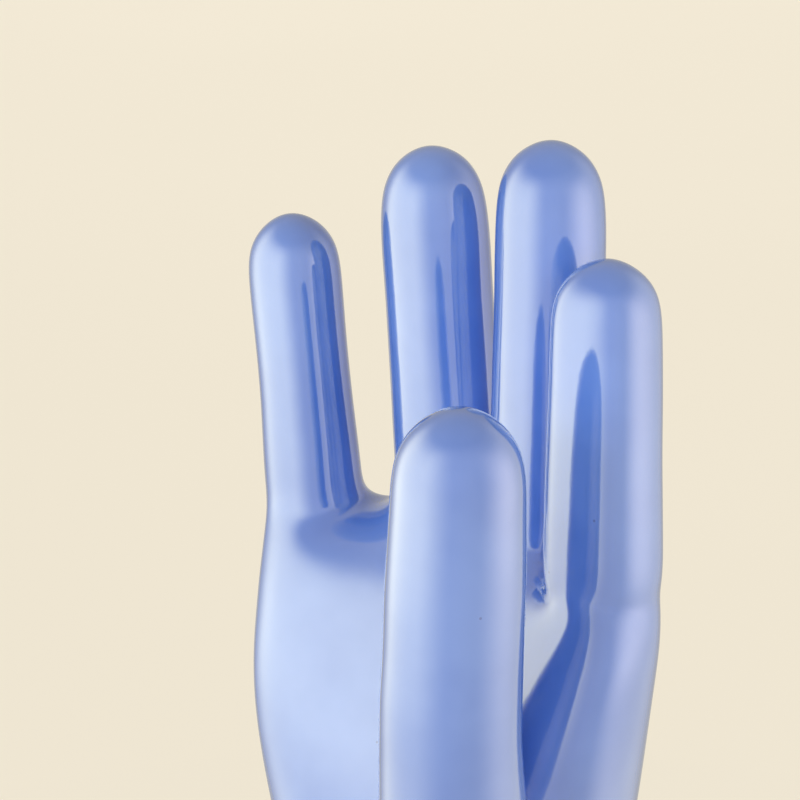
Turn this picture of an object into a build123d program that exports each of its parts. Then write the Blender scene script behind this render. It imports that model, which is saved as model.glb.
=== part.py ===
from build123d import *

import os
from dataclasses import dataclass
from math import cos, hypot, pi, sin

# Upright ceramic hand: a hollow cast wrist and palm, five hollow cast digits stuck on with
# slip at spigot joints, and a cork disc under the foot. Millimetres, +Z up, palm towards -Y,
# thumb side towards +X, origin at the middle of the underside of the cork disc.

# Cork disc under the foot
cork_thickness = 2.0
cork_margin = 3.0

# Cast walls
palm_wall = 5.0
digit_wall = 4.5
foot_floor = 6.0
foot_rounding = 1.5
pour_hole_radius = 13.0

# Slip joints: a butting rim, and a spigot on the digit that enters the bore of its root
rim_width = 3.4
slip_clearance = 0.3
spigot_wall = 1.8
spigot_length = 6.0

# Wrist and palm: how far each cross-section is above the one below, from the floor up
shoulder_rise = 12.0
wrist_rise = 28.0
heel_rise = 28.0
mid_palm_rise = 27.0
upper_palm_rise = 23.0
knuckle_rise = 17.0
web_rise = 9.0
wrist_height = shoulder_rise + wrist_rise
heel_height = wrist_height + heel_rise
mid_palm_height = heel_height + mid_palm_rise
upper_palm_height = mid_palm_height + upper_palm_rise
knuckle_height = upper_palm_height + knuckle_rise
web_height = knuckle_height + web_rise

# Wrist and palm: half width and half depth of each cross-section
foot_half_width = 36.0
foot_half_depth = 31.0
shoulder_half_width = 34.0
shoulder_half_depth = 29.0
wrist_half_width = 29.0
wrist_half_depth = 23.5
heel_half_width = 36.5
heel_half_depth = 26.0
mid_palm_half_depth = 22.5
upper_palm_half_depth = 18.5
knuckle_half_width = 48.0
knuckle_half_depth = 16.0
web_half_depth = 8.5

# Wrist and palm: how much narrower than the row of knuckles a cross-section is at each end
mid_palm_narrowing = 4.2
upper_palm_narrowing = 0.4
web_narrowing = 4.2
mid_palm_half_width = knuckle_half_width - mid_palm_narrowing
upper_palm_half_width = knuckle_half_width - upper_palm_narrowing
web_half_width = knuckle_half_width - web_narrowing

# Wrist and palm: how far the row of knuckles arches back, and the middle between its ends
mid_palm_arch = 6.0
upper_palm_arch = 13.0
knuckle_arch = 17.0
heel_middle = (0.0, -1.5)
mid_palm_middle = (-1.0, -3.2)
upper_palm_middle = (-1.6, -3.5)
knuckle_middle = (-2.2, -2.6)

# Wrist and palm: how far the thumb's end of a cross-section stands in front of its middle
mid_palm_slant = 1.5
upper_palm_slant = 3.2
knuckle_slant = 4.2
palm_squareness = 2.4
round_squareness = 2.0
points_per_section = 16

# Digits: place of the slip joint across the palm, as a share of the knuckles' half width
little_share = -0.8333
ring_share = -0.2542
middle_share = 0.2646
index_share = 0.7125
thumb_share = 0.5458

# Digits: slip joint behind the middle of the foot, and above the webs or the upper palm
little_behind = 5.0
little_rise = 5.0
ring_behind = 13.8
ring_rise = 7.0
middle_behind = 10.8
middle_rise = 6.0
index_behind = -2.6
index_rise = 4.0
thumb_behind = -41.0
thumb_rise = 2.0

# Digits: how far the tip leans over, and length beyond the joint
little_lean = (-3.5, -2.4)
little_length = 53.0
ring_lean = (-2.1, -4.5)
ring_length = 66.5
middle_lean = (-0.9, 1.6)
middle_length = 71.0
index_lean = (-0.8, 0.9)
index_length = 55.5
thumb_lean = (3.0, -1.2)
thumb_length = 63.0

# Digits: radius at the slip joint, at the waist and at the neck below the tip
little_radii = (9.9, 9.0, 9.2)
ring_radii = (11.2, 10.7, 10.6)
middle_radii = (11.3, 10.7, 10.6)
index_radii = (11.4, 10.9, 10.5)
thumb_radii = (12.9, 12.6, 12.0)
waist_share = 0.45

# Tips: length below the end, and radius of the nose as a share of the neck
finger_tip_length = 13.5
thumb_tip_length = 16.0
nose_share = 0.8

# Roots: how a finger's narrows and reaches down inside the palm, and how deep each is bored
root_taper = 1.6
root_reach = 15.0
bore_depth = 18.0

# Ball of the thumb: middle of its cross-sections across and behind, and rise above the palm's
ball_upper_share = 0.5125
ball_upper_behind = -32.5
ball_upper_rise = 7.0
ball_lower_share = 0.3958
ball_lower_behind = -20.0
ball_lower_rise = 10.0
ball_root_share = 0.2292
ball_root_behind = -5.0
ball_root_rise = 10.0

# Ball of the thumb: half width and half depth of its cross-sections
ball_upper_half_width = 14.6
ball_upper_half_depth = 20.5
ball_lower_half_width = 17.5
ball_lower_half_depth = 22.0
ball_root_half_width = 14.5
ball_root_half_depth = 15.5


@dataclass
class Section:
    """A cross-section of the wrist and palm."""

    half_width: float
    half_depth: float
    middle: tuple = (0.0, 0.0)
    arch: float = 0.0
    slant: float = 0.0
    squareness: float = round_squareness


@dataclass
class Digit:
    """A digit's slip joint, lean, length, radii and tip."""

    joint: tuple
    lean: tuple
    length: float
    radii: tuple
    tip_length: float = finger_tip_length

    def plane(self):
        """The plane of the slip joint, facing the tip."""
        rise = Vector(self.lean[0], self.lean[1], self.length)
        return Plane(origin=self.joint, x_dir=(0, -1, 0), z_dir=rise)

    def bore_radius(self):
        """The radius of the root's bore, inside the butting rim."""
        return self.radii[0] - rim_width


foot = Section(foot_half_width, foot_half_depth)
shoulder = Section(shoulder_half_width, shoulder_half_depth)
wrist = Section(wrist_half_width, wrist_half_depth)
heel = Section(heel_half_width, heel_half_depth, heel_middle)
mid_palm = Section(
    mid_palm_half_width,
    mid_palm_half_depth,
    mid_palm_middle,
    mid_palm_arch,
    mid_palm_slant,
    palm_squareness,
)
upper_palm = Section(
    upper_palm_half_width,
    upper_palm_half_depth,
    upper_palm_middle,
    upper_palm_arch,
    upper_palm_slant,
    palm_squareness,
)
knuckle = Section(
    knuckle_half_width,
    knuckle_half_depth,
    knuckle_middle,
    knuckle_arch,
    knuckle_slant,
    palm_squareness,
)
web = Section(
    web_half_width,
    web_half_depth,
    knuckle_middle,
    knuckle_arch,
    knuckle_slant,
    palm_squareness,
)


def on_palm(share, behind, height):
    """A point given by its share of the knuckles' half width, and its place behind and above."""
    return share * knuckle_half_width, behind, height


little_joint = on_palm(little_share, little_behind, web_height + little_rise)
ring_joint = on_palm(ring_share, ring_behind, web_height + ring_rise)
middle_joint = on_palm(middle_share, middle_behind, web_height + middle_rise)
index_joint = on_palm(index_share, index_behind, web_height + index_rise)
thumb_joint = on_palm(thumb_share, thumb_behind, upper_palm_height + thumb_rise)
ball_upper = on_palm(ball_upper_share, ball_upper_behind, mid_palm_height + ball_upper_rise)
ball_lower = on_palm(ball_lower_share, ball_lower_behind, heel_height + ball_lower_rise)
ball_root = on_palm(ball_root_share, ball_root_behind, wrist_height + ball_root_rise)

fingers = {
    "little_finger": Digit(little_joint, little_lean, little_length, little_radii),
    "ring_finger": Digit(ring_joint, ring_lean, ring_length, ring_radii),
    "middle_finger": Digit(middle_joint, middle_lean, middle_length, middle_radii),
    "index_finger": Digit(index_joint, index_lean, index_length, index_radii),
}
thumb = Digit(thumb_joint, thumb_lean, thumb_length, thumb_radii, thumb_tip_length)


def rounded(value, squareness):
    """A sine or cosine pulled outwards, so that an ellipse fills its corners."""
    return abs(value) ** (2 / squareness) * (1 if value >= 0 else -1)


def palm_outline(section, height, inset):
    """One closed cross-section of the palm from its back, drawn in by inset for the hollow."""
    points = []
    for step in range(points_per_section):
        turn = 2 * pi * step / points_per_section
        across = rounded(sin(turn), section.squareness)
        along = rounded(cos(turn), section.squareness)
        bow = section.arch * (1 - across**2) ** 2 - section.slant * across
        x = section.middle[0] + (section.half_width - inset) * across
        y = section.middle[1] + (section.half_depth - inset) * along + bow
        points.append((x, y, height))
    return Wire(Spline(*points, periodic=True).edge())


def palm_form(floor, inset=0.0):
    """The wrist and palm as one loft from the floor up, drawn in by inset for the hollow."""
    stations = [
        (foot, floor),
        (shoulder, shoulder_rise),
        (wrist, wrist_height),
        (heel, heel_height),
        (mid_palm, mid_palm_height),
        (upper_palm, upper_palm_height),
        (knuckle, knuckle_height - inset),
        (web, web_height - inset),
    ]
    return Solid.make_loft([palm_outline(section, height, inset) for section, height in stations])


def ball_form(inset=0.0):
    """The ball of the thumb: a bent, swelling column from inside the heel to the thumb's joint."""
    stations = [
        (ball_root, ball_root_half_width, ball_root_half_depth),
        (ball_lower, ball_lower_half_width, ball_lower_half_depth),
        (ball_upper, ball_upper_half_width, ball_upper_half_depth),
    ]
    rings = []
    for middle, half_width, half_depth in stations:
        level = Plane(origin=middle, x_dir=(0, -1, 0))
        rings.append(Wire.make_ellipse(half_depth - inset, half_width - inset, level))
    rings.append(Wire.make_circle(thumb.radii[0] - inset, thumb.plane().offset(-inset)))
    return Solid.make_loft(rings)


def finger_root(digit):
    """The stub of a finger that belongs to the palm, from its joint down into the palm."""
    low_radius = digit.radii[0] - root_taper
    root = Solid.make_cone(low_radius, digit.radii[0], root_reach, Plane((0, 0, -root_reach)))
    return digit.plane().location * root


def root_bore(digit):
    """The bore of a root, which the spigot enters and which opens into the palm's hollow."""
    bore = Solid.make_cylinder(digit.bore_radius(), bore_depth, Plane((0, 0, -bore_depth)))
    return digit.plane().location * bore


def wrist_and_palm():
    """The hollow body that carries all five digits, with its pour hole in the foot."""
    palm = palm_form(cork_thickness)
    palm = palm.fillet(foot_rounding, palm.edges().group_by(Axis.Z)[0])
    roots = [finger_root(digit) for digit in fingers.values()]
    bores = [root_bore(digit) for digit in (*fingers.values(), thumb)]
    hollows = [palm_form(cork_thickness + foot_floor, palm_wall), ball_form(palm_wall)]
    pour_hole = Solid.make_cylinder(pour_hole_radius, 2 * foot_floor, Plane((0, 0, cork_thickness)))
    return palm.fuse(ball_form(), *roots).cut(*hollows, *bores, pour_hole)


def digit_profile(radii, waist, neck, tip_length):
    """Half the outline of a digit: its long side over the waist, and two arcs round the tip."""
    joint_radius, waist_radius, neck_radius = radii
    nose_radius = nose_share * neck_radius
    nose_rise = tip_length - nose_radius
    fall = neck_radius - nose_radius
    cheek_radius = (neck_radius**2 + nose_rise**2 - nose_radius**2) / (2 * fall)
    cheek_middle = Vector(neck_radius - cheek_radius, neck)
    nose_middle = Vector(0, neck + nose_rise)
    outwards = (nose_middle - cheek_middle).normalized()
    meeting = nose_middle + outwards * nose_radius
    side = Spline(
        (joint_radius, 0),
        (waist_radius, waist),
        (neck_radius, neck),
        tangents=((waist_radius - joint_radius, waist / 2), (0, 1)),
    )
    cheek = TangentArc(side @ 1, meeting, tangent=(0, 1))
    nose = TangentArc(meeting, (0, neck + tip_length), tangent=cheek % 1)
    return side, nose


def hollow_digit(digit):
    """A hollow digit with its spigot, turned in one piece and placed on its joint."""
    rise = hypot(*digit.lean, digit.length)
    waist, neck = waist_share * rise, rise - digit.tip_length
    spigot_radius = digit.bore_radius() - slip_clearance
    passage_radius = spigot_radius - spigot_wall
    _, waist_radius, neck_radius = digit.radii
    hollow_radii = (passage_radius, waist_radius - digit_wall, neck_radius - digit_wall)
    with BuildLine() as profile:
        outside, outer_nose = digit_profile(digit.radii, waist, neck, digit.tip_length)
        inside, inner_nose = digit_profile(hollow_radii, waist, neck, digit.tip_length - digit_wall)
        Line(outer_nose @ 1, inner_nose @ 1)
        Polyline(
            inside @ 0,
            (passage_radius, -spigot_length),
            (spigot_radius, -spigot_length),
            (spigot_radius, 0),
            outside @ 0,
        )
    upright = Plane.XZ * make_face(profile.edges())
    turned = revolve(upright, axis=Axis.Z)
    return digit.plane().location * turned


def cork_disc():
    """The disc glued under the foot, which closes the pour hole."""
    outline = Ellipse(foot.half_width - cork_margin, foot.half_depth - cork_margin)
    return extrude(outline, cork_thickness)


parts = {"wrist_and_palm": wrist_and_palm(), "cork_disc": cork_disc(), "thumb": hollow_digit(thumb)}
for name, digit in fingers.items():
    parts[name] = hollow_digit(digit)

os.makedirs("parts", exist_ok=True)
for name, shape in parts.items():
    export_step(shape, f"parts/{name}.step")
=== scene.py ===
from math import cos, pi, radians, sin, sqrt

import bmesh
import bpy
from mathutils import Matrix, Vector


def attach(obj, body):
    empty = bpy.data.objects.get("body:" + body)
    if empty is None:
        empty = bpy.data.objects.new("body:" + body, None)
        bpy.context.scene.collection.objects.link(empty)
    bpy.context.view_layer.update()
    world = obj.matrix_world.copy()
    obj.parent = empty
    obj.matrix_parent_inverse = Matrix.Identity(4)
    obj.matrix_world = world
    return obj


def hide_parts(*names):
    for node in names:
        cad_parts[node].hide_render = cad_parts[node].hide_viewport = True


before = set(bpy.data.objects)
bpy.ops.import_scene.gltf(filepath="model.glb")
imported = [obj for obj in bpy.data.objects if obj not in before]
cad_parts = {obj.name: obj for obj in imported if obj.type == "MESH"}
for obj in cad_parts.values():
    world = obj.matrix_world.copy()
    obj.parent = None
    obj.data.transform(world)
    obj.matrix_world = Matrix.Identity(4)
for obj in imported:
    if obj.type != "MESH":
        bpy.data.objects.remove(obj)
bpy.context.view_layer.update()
scene = bpy.context.scene
scene.view_settings.view_transform = "Standard"
print("frame loaded:", len(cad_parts), "solids")

mm = 0.001  # the hand is modelled in millimetres and brought to metres before its skin is rounded


# Small helpers

def setMode(mode):
    bpy.ops.object.mode_set(mode=mode)


def deselectAll():
    if bpy.context.mode != "OBJECT":
        setMode("OBJECT")
    bpy.ops.object.select_all(action="DESELECT")


def makeActive(thing):
    deselectAll()
    thing.select_set(True)
    bpy.context.view_layer.objects.active = thing


def openMesh():
    return bmesh.from_edit_mesh(bpy.context.edit_object.data)


def updateMesh():
    bmesh.update_edit_mesh(bpy.context.edit_object.data)


def cageLayers(shape):  # every vertex keeps its column across the hand and its row from front to back
    layers = shape.verts.layers.int
    return layers["column"], layers["row"]


def pick(kind, test):  # selects the verts, edges or faces that pass the test
    bpy.ops.mesh.select_mode(type={"verts": "VERT", "edges": "EDGE", "faces": "FACE"}[kind])
    bpy.ops.mesh.select_all(action="DESELECT")
    shape = openMesh()
    for part in getattr(shape, kind):
        part.select_set(bool(test(part)))
    shape.select_flush_mode()
    updateMesh()


def extrudeBy(move):
    bpy.ops.mesh.extrude_region_move(TRANSFORM_OT_translate={"value": move})


def addModifier(thing, name, kind, **settings):
    makeActive(thing)
    modifier = thing.modifiers.new(name, kind)
    for key, value in settings.items():
        setattr(modifier, key, value)
    bpy.ops.object.modifier_apply(modifier=name)


# Digits: joint with the palm, lean of the tip beyond it, length, radii at joint, waist and neck,
# and the turn of the cage's octagons, with how far their ridges stand out and one facet draws in

littleFinger = {
    "node": "little_finger", "first": 0,  # first of its three columns in the cage
    "joint": (-40.2, 4.85, 149.0), "lean": (-3.5, -2.4), "length": 53.0,
    "radii": (9.95, 9.05, 9.4), "tipLength": 13.5, "shoulder": 0.98,
    "webHeight": 142.0, "turn": 16, "ridge": 1.0, "facet": 1.0,
}
ringFinger = {
    "node": "ring_finger", "first": 3,
    "joint": (-12.2, 13.8, 151.0), "lean": (-2.1, -4.5), "length": 66.5,
    "radii": (11.2, 10.6, 10.75), "tipLength": 13.5, "shoulder": 0.9,
    "webHeight": 143.5, "turn": 8, "ridge": 1.0, "facet": 1.0,
}
middleFinger = {
    "node": "middle_finger", "first": 6,
    "joint": (12.7, 10.8, 150.0), "lean": (-0.9, 1.6), "length": 71.0,
    "radii": (11.3, 10.7, 10.7), "tipLength": 13.5, "shoulder": 0.92,
    "webHeight": 143.0, "turn": -16, "ridge": 1.0, "facet": 1.0,
}
indexFinger = {
    "node": "index_finger", "first": 9,
    "joint": (34.2, -2.6, 148.0), "lean": (-0.8, 0.9), "length": 55.5,
    "radii": (10.75, 10.2, 9.95), "tipLength": 13.5, "shoulder": 0.97,
    "webHeight": 140.5, "turn": -42, "ridge": 1.08, "facet": 0.88,
}
thumb = {
    "node": "thumb", "first": 8,  # counted on the front of the palm
    "joint": (26.2, -41.0, 120.0), "lean": (3.0, -1.2), "length": 63.0,
    "radii": (13.0, 12.8, 12.2), "tipLength": 16.0, "shoulder": 0.97,
    "turn": 0, "ridge": 1.0, "facet": 1.0,
}
fingers = [littleFinger, ringFinger, middleFinger, indexFinger]
digits = [*fingers, thumb]

digitForm = {  # the rings of every digit, from joint to tip
    "tubeShrink": 0.9024,                    # what rounding leaves of an octagon's radius
    "lowShare": 0.22, "lowBlend": 0.6,       # a ring below the waist, and its share of the waist's radius
    "waistShare": 0.5, "neckDrop": 2.0,      # the neck lies this far below the start of the tip
    "shoulderShare": 0.5,                    # half-way up the tip
    "crownDrop": 1.7, "crownShare": 0.52, "crownRise": 0.27,
}


# Builds the cage: a grid along the knuckles, fingers drawn up out of it and the palm down

def riseOf(digit):
    return Vector((*digit["lean"], digit["length"]))


def fingerPoint(digit, along):  # a point on the digit's middle line, along being mm beyond the joint
    return Vector(digit["joint"]) + riseOf(digit).normalized() * along


def setRing(digit, middle, facing, halfWidth, halfDepth):  # lays the selected patch as an octagon
    shape = openMesh()
    column, row = cageLayers(shape)
    turn = radians(digit["turn"])
    facing = Vector(facing).normalized()
    along = facing.cross(Vector((cos(turn), sin(turn), 0))).normalized()
    across = along.cross(facing)
    for vert in shape.verts:
        if vert.select:
            side = vert[column] - digit["first"] - 1
            depth = vert[row] - 1
            pull = sqrt(0.5) if side and depth else digit["ridge"]  # corners lie on the circle
            if side > 0 > depth:
                pull *= digit["facet"]
            vert.co = Vector(middle) + pull * (side * halfWidth * across + depth * halfDepth * along)
    updateMesh()


def raiseRing(digit, middle, facing, halfWidth, halfDepth):
    extrudeBy(facing)
    setRing(digit, middle, facing, halfWidth, halfDepth)


def drawDigit(digit):  # the patch at its foot is selected
    jointRadius, waistRadius, neckRadius = [radius / digitForm["tubeShrink"] for radius in digit["radii"]]
    rise = riseOf(digit)
    facing = rise.normalized()
    length = rise.length
    neck = length - digit["tipLength"]
    blend = digitForm["lowBlend"]
    stations = [
        (0.0, jointRadius),
        (digitForm["lowShare"] * length, blend * waistRadius + (1 - blend) * jointRadius),
        (digitForm["waistShare"] * length, waistRadius),
        (neck - digitForm["neckDrop"], neckRadius),
        (neck + digitForm["shoulderShare"] * digit["tipLength"], digit["shoulder"] * neckRadius),
        (length - digitForm["crownDrop"], digitForm["crownShare"] * neckRadius),
    ]
    for along, radius in stations:
        raiseRing(digit, fingerPoint(digit, along), facing, radius, radius)
    shape = openMesh()
    column, row = cageLayers(shape)
    for vert in shape.verts:  # crown of the tip
        if vert.select and vert[column] == digit["first"] + 1 and vert[row] == 1:
            vert.co += facing * digitForm["crownRise"] * neckRadius
    updateMesh()


def pickFoot(digit):  # the patch that a finger is drawn up out of
    column, row = cageLayers(openMesh())
    pick("verts", lambda v: v[column] // 3 * 3 == digit["first"])


columns = 3 * len(fingers)
deselectAll()
bpy.ops.mesh.primitive_grid_add(x_subdivisions=columns - 1, y_subdivisions=2, size=2)
hand = bpy.context.object
hand.name = "hand"
setMode("EDIT")
shape = openMesh()
column = shape.verts.layers.int.new("column")
row = shape.verts.layers.int.new("row")
for number, vert in enumerate(sorted(shape.verts, key=lambda v: (round(v.co.y, 3), v.co.x))):
    vert[row], vert[column] = divmod(number, columns)
updateMesh()

for digit in fingers:
    pickFoot(digit)
    below = digit["webHeight"] - digit["joint"][2]
    radius = digit["radii"][0] / digitForm["tubeShrink"]
    setRing(digit, fingerPoint(digit, below), (0, 0, 1), radius, radius)
for digit in fingers:
    pickFoot(digit)
    drawDigit(digit)
print("fingers drawn up")


palm = {
    "node": "wrist_and_palm",
    # height, half width, half depth, middle x and y, arch of the back and of the front, slant,
    # squareness of the front's and the back's left and right, and how far the thumb's columns fan out
    "rings": [
        (136.0, 46.8, 16.4, -0.4, -0.6, 14.6, 8.0, 0.6, (2.8, 8.0, 5.0, 2.4), 0.1),
        (122.0, 46.5, 19.0, -0.4, -2.2, 12.8, 5.5, 2.2, (3.2, 8.0, 4.0, 2.4), 0.5),
        (108.0, 45.4, 20.8, -0.9, -3.2, 9.8, 3.0, 2.2, (3.2, 7.0, 3.0, 2.3), 1.0),
        (84.0, 40.8, 23.8, -1.0, -2.8, 3.8, 0.0, 0.8, (2.4, 3.0, 2.3, 2.2), 1.0),
        (50.0, 31.3, 24.9, 0.0, -0.6, 0.0, 0.0, 0.0, (2.1, 2.1, 2.1, 2.1), 1.0),
        (37.0, 29.4, 23.9, 0.0, 0.0, 0.0, 0.0, 0.0, (2.0, 2.0, 2.0, 2.0), 0.4),
        (25.0, 31.0, 25.8, 0.0, 0.0, 0.0, 0.0, 0.0, (2.0, 2.0, 2.0, 2.0), 0.0),
        (11.0, 34.8, 29.8, 0.0, 0.0, 0.0, 0.0, 0.0, (2.0, 2.0, 2.0, 2.0), 0.0),
        (4.4, 36.3, 31.3, 0.0, 0.0, 0.0, 0.0, 0.0, (2.0, 2.0, 2.0, 2.0), 0.0),
        (2.3, 36.0, 31.0, 0.0, 0.0, 0.0, 0.0, 0.0, (2.0, 2.0, 2.0, 2.0), 0.0),
        (2.0, 34.6, 29.6, 0.0, 0.0, 0.0, 0.0, 0.0, (2.0, 2.0, 2.0, 2.0), 0.0),
        (2.0, 30.0, 25.0, 0.0, 0.0, 0.0, 0.0, 0.0, (2.0, 2.0, 2.0, 2.0), 0.0),
    ],
    "knuckleHalf": 48.0, "knuckleMiddle": -2.2,
    "columnHalf": 0.18,                      # half a finger's width, as a share of the palm's half width
    "fanFrom": -0.93, "fanStep": 0.115,      # the front's columns left of the thumb
    "thumbColumns": (0.04, 0.36, 0.68), "edgeColumn": 0.985,
    "thumbRows": (108.0, 84.0, 50.0),        # the rings that the thumb is drawn out of
}


def columnPlace(number, front, spread):  # how far across the palm a column of the cage runs
    digit = fingers[number // 3]
    middle = (digit["joint"][0] - palm["knuckleMiddle"]) / palm["knuckleHalf"]
    plain = middle + (number % 3 - 1) * palm["columnHalf"]
    if not front:
        return plain
    if number == thumb["first"] + 3:
        return palm["edgeColumn"]
    if number < thumb["first"]:
        fanned = palm["fanFrom"] + number * palm["fanStep"]
    else:
        fanned = palm["thumbColumns"][number - thumb["first"]]
    return plain + spread * (fanned - plain)


def setPalmRing(
    height, halfWidth, halfDepth, middleX, middleY, backArch, frontArch, slant, squareness, spread
):
    shape = openMesh()
    column, row = cageLayers(shape)
    for vert in shape.verts:
        if not vert.select:
            continue
        depth = vert[row] - 1
        if depth == 0:
            across = -1.0 if vert[column] == 0 else 1.0
            along = 0.0
        else:
            across = columnPlace(vert[column], depth < 0, spread)
            power = squareness[(2 if depth > 0 else 0) + (1 if across > 0 else 0)]
            along = depth * (1 - abs(across) ** power) ** (1 / power)
        bow = (frontArch if depth < 0 else backArch) * (1 - across**2) ** 2 - slant * across
        vert.co = (middleX + halfWidth * across, middleY + halfDepth * along + bow, height)
    updateMesh()


pick("edges", lambda e: e.is_boundary)
for ring in palm["rings"]:
    extrudeBy((0, 0, -1))
    setPalmRing(*ring)
bpy.ops.mesh.edge_face_add()
print("palm drawn down")

thumbRoot = [  # middle, facing, half width and half depth of the rings between palm and joint
    ((18.5, -27.5, 86.0), (0.1, -0.94, 0.33), 17.5, 21.2),
    ((22.0, -34.7, 95.8), (0.1, -0.75, 0.66), 16.4, 18.4),
    ((24.8, -38.1, 105.5), (0.08, -0.48, 0.88), 15.2, 16.2),
]

column, row = cageLayers(openMesh())
topRow, midRow, lowRow = palm["thumbRows"]
near = 0.1
thumbColumns = range(thumb["first"], thumb["first"] + 3)
pick("verts", lambda v: (
    v[row] == 0 and v[column] in thumbColumns and lowRow - near < v.co.z < topRow + near
))
extrudeBy((0, -1, 0))
shape = openMesh()
column, row = cageLayers(shape)
for vert in shape.verts:  # the patch's rows now count from its lower edge up
    if vert.select:
        above = vert.co.z - midRow
        vert[row] = 1 + (above > near) - (above < -near)
setRing(thumb, *thumbRoot[0])
for ring in thumbRoot[1:]:
    raiseRing(thumb, *ring)
drawDigit(thumb)
print("thumb drawn out")

bpy.ops.mesh.select_all(action="SELECT")
bpy.ops.mesh.normals_make_consistent(inside=False)
setMode("OBJECT")
print("cage:", len(hand.data.polygons), "faces")


# Finishes the skin and parts it into the pieces that the solids have

skin = {
    "levels": 4, "waviness": 0.35, "waveSize": 26.0,
    "footHeight": 20.0, "footShare": 0.3,    # the waves fade out towards the foot
    "websFrom": 128.0, "websTo": 146.5, "websSoft": 6.0,  # heights between which the webs are eased
    "websPasses": 36, "websFactor": 0.5,
    "jointStart": 0.5, "jointReach": 1.15,   # a face beyond the joint, near the middle line, is the digit's
    "closeReach": 1.3,                       # edges this near the joint close it, in radii
}


def beyondJoint(digit, face):
    facing = riseOf(digit).normalized()
    offset = face.calc_center_median() - Vector(digit["joint"])
    along = offset.dot(facing)
    beside = (offset - along * facing).length
    return along > skin["jointStart"] and beside < skin["jointReach"] * digit["radii"][0]


def weighByHeight(name, weigh):  # a vertex group whose weights follow the height above the floor
    group = hand.vertex_groups.new(name=name)
    for vert in hand.data.vertices:
        group.add([vert.index], min(1.0, max(0.0, weigh(vert.co.z))), "REPLACE")


def websShare(z):
    height = z / mm
    return min(height - skin["websFrom"], skin["websTo"] - height) / skin["websSoft"]


def wavesShare(z):
    return z / (skin["footHeight"] * mm) - skin["footShare"]


makeActive(hand)
for name in [palm["node"], *[digit["node"] for digit in digits]]:
    hand.data.materials.append(bpy.data.materials.new(name + "_mark"))
setMode("EDIT")
for number, digit in enumerate(digits):
    pick("faces", lambda face: beyondJoint(digit, face))
    hand.active_material_index = number + 1
    bpy.ops.object.material_slot_assign()
bpy.ops.mesh.select_all(action="SELECT")
bpy.ops.transform.resize(value=(mm, mm, mm), center_override=(0, 0, 0))
setMode("OBJECT")
for name in ("column", "row"):
    hand.data.attributes.remove(hand.data.attributes[name])

addModifier(hand, "roundedSkin", "SUBSURF", levels=skin["levels"], render_levels=skin["levels"])
weighByHeight("webs", websShare)
addModifier(
    hand, "easedWebs", "SMOOTH", vertex_group="webs",
    factor=skin["websFactor"], iterations=skin["websPasses"],
)
handWaves = bpy.data.textures.new("handWaves", "CLOUDS")
handWaves.noise_scale = skin["waveSize"] * mm
handWaves.noise_depth = 1
weighByHeight("aboveFoot", wavesShare)
addModifier(
    hand, "handWaves", "DISPLACE", texture=handWaves, texture_coords="LOCAL", direction="NORMAL",
    strength=skin["waviness"] * mm, mid_level=0.5, vertex_group="aboveFoot",
)
hand.vertex_groups.clear()
makeActive(hand)
bpy.ops.object.shade_smooth()
bpy.ops.object.duplicate()
wholeHand = bpy.context.object  # keeps the shading of the whole, for the pieces to take over
makeActive(hand)
setMode("EDIT")
bpy.ops.mesh.separate(type="MATERIAL")
setMode("OBJECT")

pieces = {}
for thing in list(bpy.context.selected_objects):
    name = thing.data.materials[0].name.removesuffix("_mark")
    pieces[name] = thing
    thing.name = "glazed_" + name
    thing.data.name = thing.name
for name, thing in pieces.items():  # closes the slip joints inside the hand
    addModifier(
        thing, "wholeShading", "DATA_TRANSFER", object=wholeHand, use_loop_data=True,
        data_types_loops={"CUSTOM_NORMAL"}, loop_mapping="POLYINTERP_NEAREST",
    )
    makeActive(thing)
    setMode("EDIT")
    pick("edges", lambda e: e.is_boundary)
    bpy.ops.mesh.mark_sharp()
    for digit in digits:
        if name in (palm["node"], digit["node"]):
            middle = Vector(digit["joint"]) * mm
            reach = skin["closeReach"] * digit["radii"][0] * mm
            pick("edges", lambda e: e.is_boundary and (e.verts[0].co - middle).length < reach)
            bpy.ops.mesh.edge_face_add()
    setMode("OBJECT")
    print(name, len(thing.data.polygons), "faces")
makeActive(wholeHand)
bpy.ops.object.delete()
print("skin parted into", len(pieces), "pieces")


# Writes shader sums as Python expressions

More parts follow.
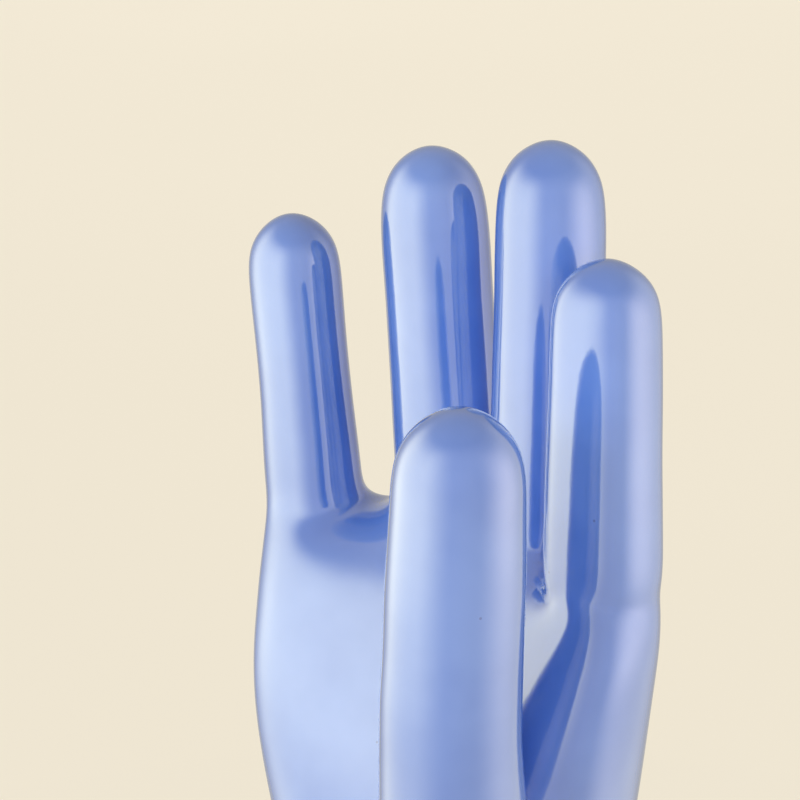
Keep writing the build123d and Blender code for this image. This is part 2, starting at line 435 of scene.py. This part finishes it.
class Wire:
    def __init__(self, tree, socket=None):
        self.tree = tree
        self.socket = socket

    def node(self, kind, settings, sockets, output=0):  # settings go on first, then values or links
        made = self.tree.nodes.new(kind)
        for key, value in settings.items():
            if key == "stops":
                while len(made.color_ramp.elements) < len(value):
                    made.color_ramp.elements.new(1.0)
                for element, (place, colour) in zip(made.color_ramp.elements, value):
                    element.position = place
                    element.color = colour
            else:
                setattr(made, key, value)
        for key, value in sockets.items():
            if isinstance(value, Wire):
                self.tree.links.new(value.socket, made.inputs[key])
            else:
                made.inputs[key].default_value = value
        return Wire(self.tree, made.outputs[output])

    def sum(self, operation, first, second):
        return self.node("ShaderNodeMath", {"operation": operation}, {0: first, 1: second})

    def __add__(self, other):
        return self.sum("ADD", self, other)

    def __radd__(self, other):
        return self.sum("ADD", other, self)

    def __sub__(self, other):
        return self.sum("SUBTRACT", self, other)

    def __rsub__(self, other):
        return self.sum("SUBTRACT", other, self)

    def __mul__(self, other):
        return self.sum("MULTIPLY", self, other)

    def __rmul__(self, other):
        return self.sum("MULTIPLY", other, self)

    def ramp(self, low, high):  # 0 below low, 1 above high
        sockets = {"Value": self, "From Min": low, "From Max": high}
        return self.node("ShaderNodeMapRange", {"interpolation_type": "SMOOTHSTEP"}, sockets)

    def mixed(self, first, second):  # blends two colours by this value
        return self.node("ShaderNodeMix", {"data_type": "RGBA"}, {0: self, 6: first, 7: second}, 2)

    def noise(self, scale, detail):  # the patterns are read at this place
        return self.node("ShaderNodeTexNoise", {}, {"Vector": self, "Scale": scale, "Detail": detail})

    def cells(self, scale, feature="F1", output=0):
        sockets = {"Vector": self, "Scale": scale}
        return self.node("ShaderNodeTexVoronoi", {"feature": feature}, sockets, output)

    def cellTone(self, scale):  # one random value for each cell
        tint = self.cells(scale, output=1)
        return self.node("ShaderNodeSeparateColor", {}, {"Color": tint}, 0)

    def axis(self, number):
        return self.node("ShaderNodeSeparateXYZ", {}, {"Vector": self}, number)


def newMaterial(name):
    material = bpy.data.materials.new(name)
    material.use_nodes = True
    tree = material.node_tree
    shader = tree.nodes["Principled BSDF"]
    place = Wire(tree).node("ShaderNodeTexCoord", {}, {}, 3)
    return material, tree, shader, place


def feed(tree, shader, wires):
    for name, wire in wires.items():
        tree.links.new(wire.socket, shader.inputs[name])


glaze = {
    "deep": (0.088, 0.198, 0.61, 1.0),       # where the glaze lies thick
    "pale": (0.135, 0.262, 0.69, 1.0),       # where it lies thin
    "poolScale": 34.0, "poolDetail": 3.0, "poolFrom": 0.34, "poolTo": 0.68,
    "roughness": 0.09, "hazeScale": 90.0, "hazeDetail": 4.0, "hazeSpread": 0.04,
    "ior": 1.8, "coat": 1.0, "coatIor": 1.65, "coatRoughness": 0.05,
    "speck": (0.06, 0.11, 0.36, 1.0), "speckDepth": 0.75,
    "speckScale": 210.0, "speckFrom": 0.035, "speckTo": 0.075, "rareFrom": 0.92, "rareTo": 0.94,
    "bisque": (0.66, 0.55, 0.42, 1.0), "bisqueRoughness": 0.75,  # bare clay round the foot
    "footLine": 0.0032, "lineScale": 55.0, "lineDetail": 2.0, "lineWander": 0.0022, "lineSoft": 0.0003,
    "lipHeight": 0.0035, "lipDepth": 0.6,    # the glaze gathers above the bare clay
    "peelScale": 420.0, "peelDetail": 1.5, "speckPit": 1.5, "lipRelief": 2.0,
    "reliefStrength": 0.12, "reliefDepth": 0.0002,
}


def makeGlaze():
    material, tree, shader, place = newMaterial("blueGlaze")
    height = place.axis(2)
    footLine = glaze["footLine"]
    wander = (place.noise(glaze["lineScale"], glaze["lineDetail"]) - 0.5) * glaze["lineWander"]
    glazed = (height + wander).ramp(footLine - glaze["lineSoft"], footLine + glaze["lineSoft"])
    lip = glazed * (1 - height.ramp(footLine, footLine + glaze["lipHeight"]))
    rare = place.cellTone(glaze["speckScale"]).ramp(glaze["rareFrom"], glaze["rareTo"])
    specks = (1 - place.cells(glaze["speckScale"]).ramp(glaze["speckFrom"], glaze["speckTo"])) * rare
    pool = place.noise(glaze["poolScale"], glaze["poolDetail"])
    colour = pool.ramp(glaze["poolFrom"], glaze["poolTo"]).mixed(glaze["deep"], glaze["pale"])
    colour = (lip * glaze["lipDepth"]).mixed(colour, glaze["deep"])
    colour = (specks * glaze["speckDepth"]).mixed(colour, glaze["speck"])
    colour = glazed.mixed(glaze["bisque"], colour)
    haze = (place.noise(glaze["hazeScale"], glaze["hazeDetail"]) - 0.5) * glaze["hazeSpread"]
    rough = glaze["roughness"] + haze + (1 - glazed) * glaze["bisqueRoughness"]
    peel = place.noise(glaze["peelScale"], glaze["peelDetail"])
    relief = peel - specks * glaze["speckPit"] + lip * glaze["lipRelief"]
    bump = place.node("ShaderNodeBump", {}, {
        "Strength": glaze["reliefStrength"], "Distance": glaze["reliefDepth"], "Height": relief,
    })
    feed(tree, shader, {
        "Base Color": colour, "Roughness": rough, "Normal": bump, "Coat Weight": glazed * glaze["coat"],
    })
    shader.inputs["IOR"].default_value = glaze["ior"]
    shader.inputs["Coat IOR"].default_value = glaze["coatIor"]
    shader.inputs["Coat Roughness"].default_value = glaze["coatRoughness"]
    return material


cork = {
    "dark": (0.16, 0.085, 0.035, 1.0), "light": (0.42, 0.26, 0.13, 1.0), "bright": (0.55, 0.37, 0.2, 1.0),
    "lightFrom": 0.35, "granuleScale": 620.0, "gapTo": 0.09, "roundTo": 0.2,
    "roughness": 0.86, "grainScale": 2400.0, "grainDetail": 2.0, "grainSpread": 0.12, "grainRelief": 0.4,
    "reliefStrength": 0.5, "reliefDepth": 0.0003,
}


def makeCork():
    material, tree, shader, place = newMaterial("pressedCork")
    tone = place.cellTone(cork["granuleScale"])
    stops = [(0.0, cork["dark"]), (cork["lightFrom"], cork["light"]), (1.0, cork["bright"])]
    colour = tone.node("ShaderNodeValToRGB", {"stops": stops}, {"Fac": tone})
    edges = place.cells(cork["granuleScale"], "DISTANCE_TO_EDGE")
    colour = (1 - edges.ramp(0.0, cork["gapTo"])).mixed(colour, cork["dark"])
    grain = place.noise(cork["grainScale"], cork["grainDetail"])
    rough = cork["roughness"] + (grain - 0.5) * cork["grainSpread"]
    relief = edges.ramp(0.0, cork["roundTo"]) + grain * cork["grainRelief"]
    bump = place.node("ShaderNodeBump", {}, {
        "Strength": cork["reliefStrength"], "Distance": cork["reliefDepth"], "Height": relief,
    })
    feed(tree, shader, {"Base Color": colour, "Roughness": rough, "Normal": bump})
    return material


blueGlaze = makeGlaze()
for name, thing in pieces.items():
    thing.data.materials.clear()
    thing.data.materials.append(blueGlaze)
    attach(thing, "root")
    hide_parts(name)
for mark in [material for material in bpy.data.materials if material.name.endswith("_mark")]:
    bpy.data.materials.remove(mark)

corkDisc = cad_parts["cork_disc"]
pressedCork = makeCork()
for slot in corkDisc.material_slots:
    slot.material = pressedCork
print("finishes on")


# Stage, light and camera

view = {
    "azimuth": 36.0, "elevation": 15.0, "distance": 0.6, "target": (-0.022, 0.010, 0.165),
    "lens": 135.0, "sensor": 36.0, "clipStart": 0.01, "clipEnd": 50.0,
}


def around(turn, distance, height):  # turn is counted to the right of the camera, seen from the hand
    angle = radians(view["azimuth"] + turn)
    return Vector((sin(angle) * distance, -cos(angle) * distance, height))


studio = {
    "cream": (0.86, 0.79, 0.65), "creamShade": (0.84, 0.77, 0.63), "driftScale": 1.6, "driftDetail": 2.0,
    "floorSize": 60.0,
    "floorGlow": 0.80, "floorShare": 0.35,   # how much of the paper's light is its own, and the lamps'
    "floorRoughness": 0.75, "floorDrift": 0.1, "floorGloss": 0.1,
    "horizon": (0.80, 0.735, 0.605, 1.0),    # what is seen of the room
    "world": (0.2, 0.194, 0.182, 1.0),       # what of it lights the hand
    "black": (0.0, 0.0, 0.0, 1.0),
    "lampTarget": (0.0, 0.0, 0.15),
}
sideLamps = {  # turn, distance, middle height, width, height, strength
    "keyLeft": (-58.0, 5.5, 1.3, 5.5, 2.6, 5.2),
    "fillRight": (85.0, 5.5, 1.3, 5.0, 2.6, 4.0),
    "fillFront": (0.0, 6.0, 1.3, 5.5, 2.6, 3.6),
    "fillBack": (178.0, 5.5, 1.3, 5.0, 2.6, 2.9),
}
lightTent = {  # what the glaze mirrors: a tall window on the left, a lower one on the right
    "radius": 0.25, "height": 0.55, "lift": 0.0005, "sides": 96,
    "room": (1.08, 1.06, 1.0, 1.0), "shade": (0.52, 0.5, 0.46, 1.0), "shadeFrom": 112.0, "shadeRise": 34.0,
    "top": (0.7, 0.66, 0.58, 1.0), "topFade": 0.26,
    "low": 0.0, "high": 0.12, "lowShare": 0.42,  # the windows are dimmer below than above
    "left": (3.02, 3.0, 2.25, 1.0), "leftFrom": -122.0, "leftRise": 40.0, "leftTo": -31.0, "leftFall": 50.0,
    "leftTop": 0.56, "leftFade": 0.36,
    "right": (2.6, 2.46, 2.34, 1.0), "rightFrom": 48.0, "rightRise": 46.0, "rightTo": 96.0, "rightFall": 50.0,
    "rightTop": 0.42, "rightFade": 0.24,
}


def seenRays(tree):  # 1 for the camera, and for what shows in gloss or glass
    path = Wire(tree).node("ShaderNodeLightPath", {}, {}, 0)
    outputs = path.socket.node.outputs
    glossy = Wire(tree, outputs["Is Glossy Ray"])
    through = Wire(tree, outputs["Is Transmission Ray"])
    return path.sum("MAXIMUM", path, path.sum("MAXIMUM", glossy, through))


def makeFloor():
    deselectAll()
    bpy.ops.mesh.primitive_plane_add(size=studio["floorSize"])
    floor = bpy.context.object
    floor.name = "paleFloor"
    material, tree, shader, place = newMaterial("creamPaper")
    drift = place.noise(studio["driftScale"], studio["driftDetail"])
    tones = [studio["cream"], studio["creamShade"]]
    paper = drift.mixed(*[(*tone, 1.0) for tone in tones])
    lit = drift.mixed(*[(*[value * studio["floorShare"] for value in tone], 1.0) for tone in tones])
    glow = seenRays(tree).mixed(studio["black"], paper)
    rough = studio["floorRoughness"] + drift * studio["floorDrift"]
    feed(tree, shader, {"Base Color": lit, "Roughness": rough, "Emission Color": glow})
    shader.inputs["Emission Strength"].default_value = studio["floorGlow"]
    shader.inputs["Specular IOR Level"].default_value = studio["floorGloss"]
    floor.data.materials.append(material)


def makeLamps():
    for name, (turn, distance, height, width, tall, strength) in sideLamps.items():
        light = bpy.data.lights.new(name, "AREA")
        light.shape = "RECTANGLE"
        light.size = width
        light.size_y = tall
        light.energy = pi * width * tall * strength
        lamp = bpy.data.objects.new(name, light)
        scene.collection.objects.link(lamp)
        lamp.location = around(turn, distance, height)
        lamp.rotation_mode = "QUATERNION"
        lamp.rotation_quaternion = (Vector(studio["lampTarget"]) - lamp.location).to_track_quat("-Z", "Y")
        lamp.visible_camera = False
        lamp.visible_glossy = False  # the tent is what the glaze mirrors


def makeTent():
    deselectAll()
    bpy.ops.mesh.primitive_cylinder_add(
        vertices=lightTent["sides"], radius=lightTent["radius"], depth=lightTent["height"],
        end_fill_type="NGON", location=(0, 0, lightTent["height"] / 2 + lightTent["lift"]),
    )
    tent = bpy.context.object
    tent.name = "lightTent"
    bpy.ops.object.transform_apply(location=True, rotation=False, scale=False)
    material, tree, shader, place = newMaterial("tentLight")
    tree.nodes.remove(shader)
    cameraTurn = {"Vector": place, "Angle": -radians(view["azimuth"])}
    turned = place.node("ShaderNodeVectorRotate", {"rotation_type": "Z_AXIS"}, cameraTurn)
    x = turned.axis(0)
    y = turned.axis(1)
    z = place.axis(2)
    turn = x.sum("ARCTAN2", x, 0 - y) * (180 / pi)
    lowShare = lightTent["lowShare"]
    lower = lowShare + z.ramp(lightTent["low"], lightTent["high"]) * (1 - lowShare)

    def window(side):
        start = lightTent[side + "From"]
        rise = lightTent[side + "Rise"] / 2
        end = lightTent[side + "To"]
        fall = lightTent[side + "Fall"] / 2
        top = lightTent[side + "Top"]
        across = turn.ramp(start - rise, start + rise) * (1 - turn.ramp(end - fall, end + fall))
        return across * (1 - z.ramp(top - lightTent[side + "Fade"], top)) * lower

    colour = window("left").mixed(lightTent["room"], lightTent["left"])
    colour = window("right").mixed(colour, lightTent["right"])
    back = turn.sum("MAXIMUM", turn, 0 - turn)  # the same on both sides, so that it closes behind the hand
    shaded = back.ramp(lightTent["shadeFrom"], lightTent["shadeFrom"] + lightTent["shadeRise"])
    colour = shaded.mixed(colour, lightTent["shade"])
    upper = z.ramp(lightTent["height"] - lightTent["topFade"], lightTent["height"])
    colour = upper.mixed(colour, lightTent["top"])
    glow = place.node("ShaderNodeEmission", {}, {"Color": colour, "Strength": 1.0})
    tree.links.new(glow.socket, tree.nodes["Material Output"].inputs["Surface"])
    tent.data.materials.append(material)
    for ray in ("camera", "diffuse", "shadow", "transmission", "volume_scatter"):
        setattr(tent, "visible_" + ray, False)


def makeWorld():
    world = bpy.data.worlds.new("creamRoom")
    scene.world = world
    world.use_nodes = True
    tree = world.node_tree
    background = tree.nodes["Background"]
    colour = seenRays(tree).mixed(studio["world"], studio["horizon"])
    tree.links.new(colour.socket, background.inputs["Color"])


def makeCamera():
    camera = bpy.data.objects.new("photoCamera", bpy.data.cameras.new("photoCamera"))
    scene.collection.objects.link(camera)
    lift = radians(view["elevation"])
    back = around(0.0, cos(lift), sin(lift))
    camera.location = Vector(view["target"]) + back * view["distance"]
    camera.rotation_mode = "QUATERNION"
    camera.rotation_quaternion = (-back).to_track_quat("-Z", "Y")
    camera.data.lens = view["lens"]
    camera.data.sensor_width = view["sensor"]
    camera.data.clip_start = view["clipStart"]
    camera.data.clip_end = view["clipEnd"]
    scene.camera = camera


makeFloor()
makeLamps()
makeTent()
makeWorld()
makeCamera()
print("stage, light and camera set")
